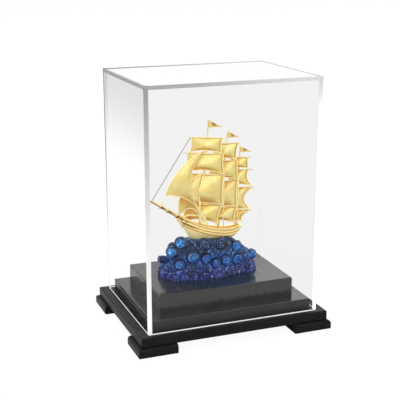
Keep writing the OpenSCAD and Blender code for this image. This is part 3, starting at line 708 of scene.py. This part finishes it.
def beside(x, over, out, side):
    """A point over the rail at x, out from the side."""
    return Vector((x, side * (half_beam(x) - 0.4 + out), rail_z(x) + over))


def scroll(centre, radius, turns=1.6, count=26):
    """A rolled scroll of bar in a fore-and-aft plane, that gets finer to its eye."""
    sweep = [2 * math.pi * turns * i / count for i in range(count + 1)]
    finer = [i / count for i in range(count + 1)]
    bar = [centre + Vector((math.cos(a), 0, math.sin(a))) * (radius * (1 - 0.85 * part))
           for a, part in zip(sweep, finer)]
    return rope(bar, [0.36 - 0.16 * part for part in finer])


head = []
for side in (-1, 1):
    rail = [STEM + Vector((1.0, side * 0.7, 1.6))]
    rail += [beside(x, HEAD_RAIL_H - 0.35 * i, 0, side)
             for i, x in enumerate((-24.6, -22, -19, -15.5))]
    posts = [[beside(x, 0.2, 0, side), beside(x, HEAD_RAIL_H, 0, side)] for x in RAIL_POSTS]
    cathead = [beside(-19.6, 0.3, -1, side), beside(-20.6, 1.3, 2.1, side)]
    head += [rope(rail, 0.32), *(rope(post, 0.34) for post in posts), rope(cathead, 0.5),
             scroll(STEM + Vector((-1.9, side * 0.75, -2.1)), 1.7),
             scroll(STEM + Vector((0.6, side * 1.15, -5.2)), 1.1)]
head.append(rope([STEM + Vector((x, 0, z)) for x, z in knee], [0.5, 0.8, 0.8, 0.75, 0.6, 0.45], 10))
head.append(rope([STEM + Vector((x + 0.9, 0, z - 1.5 + 0.25 * i))
                  for i, (x, z) in enumerate(knee[1:])], [0.4, 0.55, 0.55, 0.45, 0.3]))
for side in (-1, 1):
    head.append(rope([STEM + Vector((x, side * y, z)) for x, y, z in
                      ((1.5, 1.2, -2.6), (-1.6, 0.9, -1.2), (-4.6, 0.4, 1.3))], 0.28))
ship_piece("ship_head", head, hull_gold, "beakhead")


# ---- Masts and yards ----
# Turned rods, thin at the ends, with a collar where each yard is soldered to its mast and a
# round truck on top. The yards are braced round, so their near ends point to the right.
MASTS = ["fore", "main", "mizzen"]
COURSES = ["royal", "topgallant", "topsail", "course"]
MAST_X, RAKE, TOPS = [-9.2, 7.6, 24.6], [4.9, 5.8, 3.2], [136.6, 125.4, 111.2]
YARD_H = [[121.3, 107.5, 89.3, 62.6], [114.9, 99.4, 81.3, 57.9], [101.4, 90.3, 74.4, 53.8]]
YARD_L = [[31, 40, 48, 40], [24, 26, 30, 32], [21, 27, 30, 27.5]]
BRACE, TILT = math.radians(36), [1, 6, 6]
COLLAR_SHARE, COLLAR_PROUD, PARTNER_R = 0.014, 0.22, 1.7
MAST_R, TRUCK_R, MAST_STEP, YARD_R, YARD_TIP_R = 1.2, 0.5, 4.0, 0.85, 0.35
AHEAD = Vector((-math.sin(BRACE), -math.cos(BRACE), 0))


def mast_foot(m):
    return rail_z(MAST_X[m]) - WELL - MAST_STEP


def mast_at(m, z):
    return Vector((MAST_X[m] + (z - mast_foot(m)) * math.tan(math.radians(RAKE[m])), 0, z))


def mast_r(m, z):
    return MAST_R + (TRUCK_R - MAST_R) * (z - mast_foot(m)) / (PLINTH_TOP + TOPS[m] - mast_foot(m))


def yard_axis(m):
    return Vector((math.cos(BRACE), -math.sin(BRACE), math.tan(math.radians(TILT[m]))))


def on_yard(m, k, reach):
    """A point on yard k of mast m, reach from its middle."""
    z = PLINTH_TOP + YARD_H[m][k]
    return mast_at(m, z) + AHEAD * (mast_r(m, z) + YARD_R / 2) + yard_axis(m) * reach


def turned(start, end, profile, sides=20):
    """A turned bar from start to end. The profile is rows of (share of the length, radius)."""
    start, end = Vector(start), Vector(end)
    return rope([start.lerp(end, share) for share, _ in profile], [r for _, r in profile], sides)


for m, mast in enumerate(MASTS):
    foot, top = mast_foot(m), PLINTH_TOP + TOPS[m]
    rows = {0.0: MAST_R, 1.0: 0.28, 0.992: 0.62, 0.984: 0.66, 0.976: 0.55, 0.97: TRUCK_R}
    for height_over in YARD_H[m]:
        share = (PLINTH_TOP + height_over - foot) / (top - foot)
        r = mast_r(m, PLINTH_TOP + height_over)
        for side in (-1, 1):
            rows[share + side * (COLLAR_SHARE + 0.003)] = r
            rows[share + side * COLLAR_SHARE] = r + COLLAR_PROUD
    on_deck = (rail_z(MAST_X[m]) - WELL + DECK_T - foot) / (top - foot)
    rows.update({on_deck: PARTNER_R, on_deck + 0.006: PARTNER_R - 0.1, on_deck + 0.009: MAST_R})
    ship_piece(mast + "_mast_turned",
               [turned(mast_at(m, foot), mast_at(m, top), sorted(rows.items()), 24)],
               gold_plate, mast + "_mast", 50)
    for k, course in enumerate(COURSES):
        half = YARD_L[m][k] / 2
        tip = 0.6 / half
        taper = [(0.0, 0.12), (0.25 * tip, 0.34), (0.5 * tip, 0.42), (tip, 0.42),
                 (1.2 * tip, YARD_TIP_R)]
        rows = [(share / 2, r) for share, r in taper]
        rows += [(0.5 + reach / half / 2, r)
                 for reach, r in ((-1.3, YARD_R), (-1.2, YARD_R + 0.2), (1.2, YARD_R + 0.2),
                                  (1.3, YARD_R))]
        rows += [(1 - share / 2, r) for share, r in reversed(taper)]
        ship_piece(f"{mast}_{course}_yard_turned",
                   [turned(on_yard(m, k, -half), on_yard(m, k, half), rows, 16)],
                   spar_gold, f"{mast}_{course}_yard", 50)


# ---- Bowsprit ----
# A stouter turned spar that runs out over the knee, with its heel buried in the bow.
# Of its three rings the inner one stands at the bow, and the stays are soldered to the others.
SPRIT_L, SPRIT_RISE, SPRIT_RINGS, HEEL_RING = 37.5, math.radians(33.5), [26.3, 18.4], 9.0
SPRIT_R, SPRIT_TIP_R = 1.6, 1.05
SPRIT_HEEL = STEM + Vector((4, 0, -2.8))
# Outline of a ring: along the spar from the ring's middle, and how proud it stands there.
RING = [(-0.75, 0), (-0.7, 0.45), (-0.35, 0.62), (0.35, 0.62), (0.7, 0.45), (0.75, 0)]


def on_sprit(reach):
    return SPRIT_HEEL + Vector((-math.cos(SPRIT_RISE), 0, math.sin(SPRIT_RISE))) * reach


def sprit_r(reach):
    return SPRIT_R + (SPRIT_TIP_R - SPRIT_R) * reach / SPRIT_L


rows = [(0.0, SPRIT_R)]
for reach in sorted(SPRIT_RINGS + [HEEL_RING]):
    rows += [((reach + along) / SPRIT_L, sprit_r(reach) + proud) for along, proud in RING]
rows += [(0.965, 1.07), (0.985, 1.0), (0.997, 0.7), (1.0, 0.3)]
bowsprit = ship_piece("bowsprit_turned", [turned(on_sprit(0), on_sprit(SPRIT_L), rows, 24)],
                      spar_gold, "bowsprit", 50)
# Painted shade on its underside and on a little of its near side.
below = read(bowsprit.data.vertex_normals, "vector", 3) @ np.array((0.0, -0.5, -0.87))
paint(bowsprit.data, "painted_shade", 1.3 * np.clip((below - 0.25) / 0.2, 0, 1))


# ---- Square sails ----
# Thin sheet pressed over a form to a full belly, with a wire rolled into its sides and foot.
# Light creases run in from the corners, and the foot is arched to clear the yard below.
HEAD_L = [[28, 32, 36, 36], [22, 23.5, 28, 31], [15.5, 18, 25.5, 25.5]]
FOOT_L = [[28, 36, 38, 31], [21, 29, 31, 29], [17, 27, 26, 14]]
COURSE_FOOT = [46.5, 44.5, 43.5]
SAIL_T, BELLY, SWEEP, SAIL_WIRE, SAIL_GRID = 0.7, 0.34, 150, 0.6, (36, 26)
HOLLOW = [[1.1] * 4, [1.1] * 4, [0.5, 3.2, 6.5, 4]]
ARCH = [0.2, 0.22, 0.08, 0.24]
ROLLED = ("left", "right", "foot")
# Strength of the painted shade beside each edge, how far in it runs, and its reach below a sail in
# front.
HEM_SHADE, HEM, SHADED = {"left": 0.2, "right": 0.8, "head": 0.3, "foot": 0.4}, 1.7, 9.0


def formed(surface, back, nu, nv, edges, wire):
    """Closed sheet of surface(u, v), thickened by back, with a wire rolled into the edges named."""
    grid = [[Vector(surface(i / nu, j / nv)) for i in range(nu + 1)] for j in range(nv + 1)]
    front = [p for row in grid for p in row]
    n, w = len(front), nu + 1
    rim_line = ([i for i in range(nu)] + [j * w + nu for j in range(nv)] +
                [nv * w + i for i in range(nu, 0, -1)] + [j * w for j in range(nv, 0, -1)])
    faces = []
    for j in range(nv):
        for i in range(nu):
            a = j * w + i
            faces += [[a, a + 1, a + w + 1, a + w], [n + a, n + a + w, n + a + w + 1, n + a + 1]]
    for a, b in zip(rim_line, rim_line[1:] + rim_line[:1]):
        faces.append([a, n + a, n + b, b])
    shells = [(front + [p + back for p in front], faces)]
    lines = {"left": [row[0] for row in grid], "right": [row[-1] for row in grid],
             "head": grid[0], "foot": grid[-1]}
    for edge in edges:
        shells.append(rope([p + back / 2 for p in lines[edge]], wire, 8))
    return shells


def bind_edges(sail, nu, nv, over=None):
    """Burnishes the rolled wires round a sheet, paints shade on the sheet beside them, and paints
    a shadow for SHADED below the foot of the sail over it."""
    sheet = 2 * nu * nv + 2 * (nu + nv)
    sail.data.materials.append(bright_gold)
    for face in sail.data.polygons[sheet:]:
        face.material_index = 1
    spots = read(sail.data.vertices, "co", 3) / MM
    front = spots[:(nu + 1) * (nv + 1)].reshape(nv + 1, nu + 1, 3)
    lines = {"left": front[:, :1], "right": front[:, -1:], "head": front[:1], "foot": front[-1:]}
    beside_edge = [HEM_SHADE[edge] * np.clip(HEM - np.linalg.norm(front - line, axis=2), 0, 1)
                   for edge, line in lines.items()]
    painted_dark = np.maximum.reduce(beside_edge).ravel()
    if over is not None:
        below = np.interp(front[..., 0].ravel() - 2, over[:, 0], over[:, 2]) - front[..., 2].ravel()
        painted_dark = np.maximum(painted_dark, 0.6 * np.clip(1.3 - below / SHADED, 0, 1) * (below > -3))
    paint(sail.data, "painted_shade", np.concatenate([painted_dark, painted_dark, np.zeros(len(spots) - 2 * len(painted_dark))]))


def square_sail(m, k):
    top = PLINTH_TOP + YARD_H[m][k] - YARD_TIP_R / 2
    foot = PLINTH_TOP + (YARD_H[m][k + 1] + YARD_R + 0.2 if k < 3 else COURSE_FOOT[m])
    drop = top - foot
    stand = mast_r(m, PLINTH_TOP + YARD_H[m][k]) + YARD_R / 2 + SAIL_T / 2

    def surface(u, v):
        s = 2 * u - 1
        half = (HEAD_L[m][k] * (1 - v) + FOOT_L[m][k] * v) / 2 - HOLLOW[m][k] * 4 * v * (1 - v)
        fill = BELLY * drop * (1 - s * s) * math.sin(math.radians(SWEEP * v))
        crease = 0.28 * (1 - s * s) * v * math.sin(9.0 * abs(s) + 5.0 * v) * abs(s)
        p = mast_at(m, top - drop * v) + yard_axis(m) * (s * half) + AHEAD * (stand + fill + crease)
        return p + Vector((0, 0, ARCH[k] * drop * (1 - s * s) * v * v))
    return formed(surface, -AHEAD * SAIL_T, *SAIL_GRID, ROLLED, SAIL_WIRE)


for m, mast in enumerate(MASTS):
    for k, course in enumerate(COURSES):
        sail = ship_piece(f"{mast}_{course}_sail_formed", square_sail(m, k), gold_plate,
                          f"{mast}_{course}_sail", 50)
        bind_edges(sail, *SAIL_GRID)


# ---- Jibs ----
# Three-cornered sails from the foremast to the bowsprit, formed in the same sheet as the rest.
# The outer one bends round to the near side and overlaps the ones behind it.
JIB_HEADS, JIB_GRID = [111, 91.5, 76], (26, 36)
# Each jib's tack, its clew, the points that draw its luff, leech and foot to a curve, all from
# the stem's head, and the depth of its belly.
JIBS = {
    "outer_jib": ((-13.5, -1, 21.6), (22, -10.5, -6.9), (-6, -5, 48), (-9, -9, 38.5),
                  (12, -8, 22.4), 2.5),
    "middle_jib": ((-1.2, -0.6, 2.5), (16.4, -8, -4.6), (-7, -3, 28.1), (11, -10.5, 25.1),
                   (11, -8, 19.1), 2),
    "inner_jib": ((2.5, -0.5, 0.5), (17, -7, 0.1), (5, -2, 15.1), (13, -9, 13.1),
                  (10, -6, 5.1), 1)}


def bow(a, b, c, t):
    """A point of the curve from a to c that b draws out, for t from 0 to 1."""
    return a * (1 - t) ** 2 + b * (2 * t * (1 - t)) + c * t * t


foot_over = None
for j, (jib, (*pulls, belly)) in enumerate(JIBS.items()):
    head = mast_at(0, PLINTH_TOP + JIB_HEADS[j]) + Vector((0, -MAST_R, 0))
    tack, clew, luff_pull, leech_pull, foot_pull = (STEM + Vector(pull) for pull in pulls)

    def surface(u, v):
        t = 0.04 + 0.96 * v
        luff, leech = bow(head, luff_pull, tack, t), bow(head, leech_pull, clew, t)
        lift = bow(tack, foot_pull, clew, u) - (tack * (1 - u) + clew * u)
        full = belly * math.sin(math.pi * u) * math.sin(math.radians(SWEEP * t))
        crease = 0.2 * math.sin(math.pi * u) * t * math.sin(7 * u + 4 * t)
        return luff * (1 - u) + leech * u + lift * t ** 3 - Vector((0, full + crease, 0))

    sail = ship_piece(jib + "_formed",
                      formed(surface, Vector((0, SAIL_T, 0)), *JIB_GRID, ROLLED, SAIL_WIRE),
                      gold_plate, jib, 50)
    bind_edges(sail, *JIB_GRID, foot_over)
    foot_over = np.array([bow(tack, foot_pull, clew, u) for u in np.linspace(0, 1, 40)])


# ---- Pennants ----
# Cut from the same sheet as the sails and curled round a rod, so that they stream aft.
# Each is soldered along its hoist to the mast top.
PENNANT_L, PENNANT_H, PENNANT_CURL = [12, 10.5, 10.5], [6.4, 5.4, 4.9], 0.9
PENNANT_GRID, PENNANT_WIRE, TIP_H, FOLD_AT = (24, 8), 0.3, 0.5, 0.42
across, down = (np.linspace(0, 1, count + 1) for count in PENNANT_GRID)
u, v = (part.ravel() for part in np.meshgrid(across, down))
# Painted shade in a fold a little way out from the hoist, fading towards the foot.
fold = np.exp(-((u - FOLD_AT) / 0.17) ** 2) * np.clip(1.4 - 1.3 * v, 0, 1)
for m, mast in enumerate(MASTS):
    def surface(u, v):
        curl = PENNANT_CURL * u * math.sin(math.radians(300 * u)) - SAIL_T / 2
        hoist = (1 - v) * (PENNANT_H[m] * (1 - u) ** 1.3 + TIP_H)
        return mast_at(m, PLINTH_TOP + TOPS[m]) + Vector((
            TRUCK_R / 2 + u * PENNANT_L[m], curl, -0.4 - PENNANT_H[m] + hoist))
    pennant = ship_piece(mast + "_pennant_formed",
                         formed(surface, Vector((0, SAIL_T, 0)), *PENNANT_GRID, (), PENNANT_WIRE),
                         gold_plate, mast + "_pennant", 50)
    paint(pennant.data, "painted_shade", np.concatenate([fold, fold]))


# ---- Stays and braces ----
# Straight wires, soldered at both ends: one from the fore royal yard to the bowsprit, two
# to the outer jib, and two stout braces from the topsail yards down to the side of the hull.
WIRE_R, BRACE_R, STAY_GAP = 0.3, 0.45, 9.5
BROWN_DARK, BROWN_LIGHT = (0.30, 0.17, 0.08), (0.50, 0.32, 0.16)


def wire(a, b, radius):
    """A straight wire from a to b, a little drawn in at its ends."""
    return turned(a, b, [(0, radius * 0.6), (0.004, radius), (0.996, radius), (1, radius * 0.6)],
                  12)


def on_side(x):
    """The point of the near side where a brace is soldered."""
    return Vector((x, -half_beam(x) - 0.3, rail_z(x) - 1.8))


outer_tack = STEM + Vector(JIBS["outer_jib"][0])
RIGGING = {
    "royal_stay": [(on_yard(0, 0, 1 - YARD_L[0][0] / 2), on_sprit(SPRIT_L - 1.5), WIRE_R)],
    "jib_stays": [
        (outer_tack + Vector((0, SAIL_T / 2, SAIL_T / 2)), on_sprit(SPRIT_RINGS[0]), BRACE_R),
        (outer_tack + Vector((STAY_GAP, -SAIL_T, -SAIL_T)), on_sprit(SPRIT_RINGS[1]), WIRE_R)],
    "yard_braces": [(on_yard(0, 2, 18), on_side(11), BRACE_R),
                    (on_yard(1, 2, 14.6), on_side(24.5), BRACE_R)]}
# The long stay is painted dark brown in place of gold: painted shade on the wire.
shaded_stay, shade, place = new_finish("shaded_stay_wire")
drawn = noise(place, 900, 2, 0.5)
coat(shade, Base_Color=drawn.tint(BROWN_DARK, BROWN_LIGHT), Metallic=0.4,
     Roughness=0.35 + 0.15 * drawn)
for name, runs in RIGGING.items():
    ship_piece(name + "_drawn", [wire(*run) for run in runs],
               shaded_stay if name == "royal_stay" else bright_gold, name)


# ---- Clear cover ----
# Five sheets of clear cast acrylic, cemented edge to face and flame-polished. The sheet itself
# hardly shows; its cut edges do, in painted light and reflection, grey at the top and white lower
# down.
SHEET, LINE, NARROW = 3.0 * MM, 0.5 * MM, 2.0 * MM
FAR_LINE, FOOT_LINE = 1.1 * MM, 0.9 * MM
EDGE_WHITE, EDGE_GREY, EDGE_SHOWS = (1.0, 1.0, 1.0), (0.13, 0.13, 0.15), 0.85
# Painted reflection: how much the front sheet shows, the left one over its upper part, and the
# rest.
FRONT_REFLECTION, LEFT_REFLECTION, CLEAR_REFLECTION, LEFT_REFLECTION_H = 0.075, 0.15, 0.006, 85 * MM
clear_acrylic, shade, place = new_finish("clear_acrylic")
x, y, z = (place.axis(name) for name in "XYZ")
low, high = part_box("cover_front_panel")[0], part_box("cover_top_panel")[1]
tall = high.z - low.z


def past(value, edge, soft=0.1 * MM):
    """1 where the value lies past the edge, with the edge itself a little soft."""
    return value.above(edge - soft, edge + soft)


# Corner joints: a broad band down each front corner and a fine line down the left rear one.
# The right rear one carries no line.
joint = past(-x, high.x - SHEET) | past(x, high.x - NARROW)
joint = joint * past(-y, high.y - SHEET)
rear_line = past(-x, high.x - LINE) * past(y, high.y - SHEET)
# Cut edges of the top sheet, and the foot where the sheets stand on the board, painted as a bright
# line.
on_top = past(z, high.z - SHEET)
top_edge = on_top * (past(-x, high.x - LINE) | past(-y, high.y - LINE))
far_edge = past(z, high.z - FAR_LINE) * (past(x, high.x - LINE) | past(y, high.y - LINE))
foot = past(x | -x, high.x - LINE) | past(y | -y, high.y - LINE)
foot = foot * (1 - past(z, low.z + FOOT_LINE))
edges = joint | rear_line | top_edge | far_edge | foot
# The edges are painted white low down and grey higher up, most of all at the left: painted light
# and reflection.
leftward = (-x).above(-high.x, high.x)
climb = (z - low.z) * (0.72 / tall) + 0.2
side_grey = leftward * climb + (1 - leftward) * z.above(high.z - 50 * MM, high.z) * 0.62
rear_grey = rear_line * (z.above(low.z + 0.05 * tall, low.z + 0.75 * tall) * 0.58 + 0.42)
top_grey = on_top * (0.62 + 0.26 * leftward)
grey = (side_grey * (1 - rear_line) | rear_grey | top_grey) * (1 - foot)
edge_colour = grey.tint(EDGE_WHITE, EDGE_GREY)
cut_edge = edges.above(0.0, 0.1)
outside = SHEET + 0.2 * MM
front_reflection = past(-y, high.y - outside) * FRONT_REFLECTION
left_reflection = past(-x, high.x - outside) * z.above(high.z - LEFT_REFLECTION_H, high.z) * LEFT_REFLECTION
sheet_reflection = front_reflection | left_reflection | CLEAR_REFLECTION
# The sheet has no gloss and bends no light. The painted reflection and the edges give off light of
# their own in place of reflections, so they don't go dark with the room.
sheet = shade.node("BsdfPrincipled", {}, {
    "Base Color": cut_edge.tint((0.0, 0.0, 0.0), edge_colour), "Roughness": 0.08, "IOR": 1.49,
    "Specular IOR Level": 0.0, "Emission Strength": 0.5,
    "Emission Color": cut_edge.tint((0.13, 0.13, 0.132), edge_colour)})
clear = shade.node("BsdfTransparent", {}, {})
shows = edges * EDGE_SHOWS + (1 - edges) * sheet_reflection
seen_sheet = shade.node("MixShader", {}, {0: shows, 1: clear, 2: sheet})
shade.node("OutputMaterial", {}, {"Surface": seen_sheet})
dress(clear_acrylic, *(f"cover_{side}_panel" for side in ("front", "rear", "left", "right", "top")))


# ---- Studio ----
# A white table in a white room, lit evenly from above and the left.
# It is no part of the case.
AMBIENT, TABLE = 0.8, 4.0
KEY_AT, BACK_AT, AIM_AT, LAMP_SIZE = (-0.9, -0.9, 1.3), (0.7, 1.0, 1.2), (0, 0, 0.1), 1.6
KEY_WATTS, BACK_WATTS, TABLE_WHITE, TABLE_GLOW, GLOW_SEEN = 9, 5, 0.86, 1.05, 0.9
EYE_AT, SENSOR, LENS = (-0.2861, -0.7216, 0.3192), 36, 82.68
AZIMUTH, ELEVATION, ROLL = (math.radians(a) for a in (-21.03, 15.21, -0.12))
room = bpy.data.worlds.new("white_room")
bpy.context.scene.world = room
room.use_nodes = True
room.node_tree.nodes.clear()
sky = Shade(room.node_tree)
camera_ray, glossy_ray, through_ray = (
    sky.node("LightPath", out=f"Is {kind} Ray") for kind in ("Camera", "Glossy", "Transmission"))
seen = camera_ray | glossy_ray | through_ray
white = {"Color": (1, 1, 1, 1), "Strength": AMBIENT + (1 - AMBIENT) * seen}
sky.node("OutputWorld", {}, {"Surface": sky.node("Background", {}, white)})

white_table, shade, place = new_finish("white_table")
matt = shade.node("BsdfDiffuse", {}, {"Color": (TABLE_WHITE,) * 3 + (1,)})
bright = shade.node("Emission", {}, {"Color": (1, 1, 1, 1), "Strength": TABLE_GLOW})
seen_table = shade.node("LightPath", out="Is Camera Ray") * GLOW_SEEN
shade.node("OutputMaterial", {}, {"Surface": shade.node("MixShader", {}, {
    0: seen_table, 1: matt, 2: bright})})
table_mesh = bpy.data.meshes.new("table")
table_mesh.from_pydata([(-TABLE, -TABLE, 0), (TABLE, -TABLE, 0), (TABLE, TABLE, 0),
                        (-TABLE, TABLE, 0)], [], [(0, 1, 2, 3)])
table_mesh.materials.append(white_table)
table = bpy.data.objects.new("table", table_mesh)
bpy.context.scene.collection.objects.link(table)


def lamp(name, place_at, watts):
    """A round softbox that faces the case."""
    light = bpy.data.lights.new(name, "AREA")
    light.shape, light.size, light.energy = "DISK", LAMP_SIZE, watts
    holder = bpy.data.objects.new(name, light)
    holder.location = place_at
    aim = Vector(AIM_AT) - Vector(place_at)
    holder.rotation_euler = aim.to_track_quat("-Z", "Y").to_euler()
    bpy.context.scene.collection.objects.link(holder)


lamp("key", KEY_AT, KEY_WATTS)
lamp("back", BACK_AT, BACK_WATTS)

back = Vector((math.sin(AZIMUTH) * math.cos(ELEVATION), -math.cos(AZIMUTH) * math.cos(ELEVATION),
               math.sin(ELEVATION)))
level = (-back).cross(Vector((0, 0, 1))).normalized()
upright = level.cross(-back)
right = level * math.cos(ROLL) + upright * math.sin(ROLL)
up = upright * math.cos(ROLL) - level * math.sin(ROLL)
camera = bpy.data.cameras.new("camera")
camera.sensor_width, camera.lens = SENSOR, LENS
eye = bpy.data.objects.new("camera", camera)
turn = Matrix((right, up, back)).transposed().to_4x4()
eye.matrix_world = Matrix.Translation(EYE_AT) @ turn
bpy.context.scene.collection.objects.link(eye)
bpy.context.scene.camera = eye
bpy.context.scene.view_settings.view_transform = "Standard"
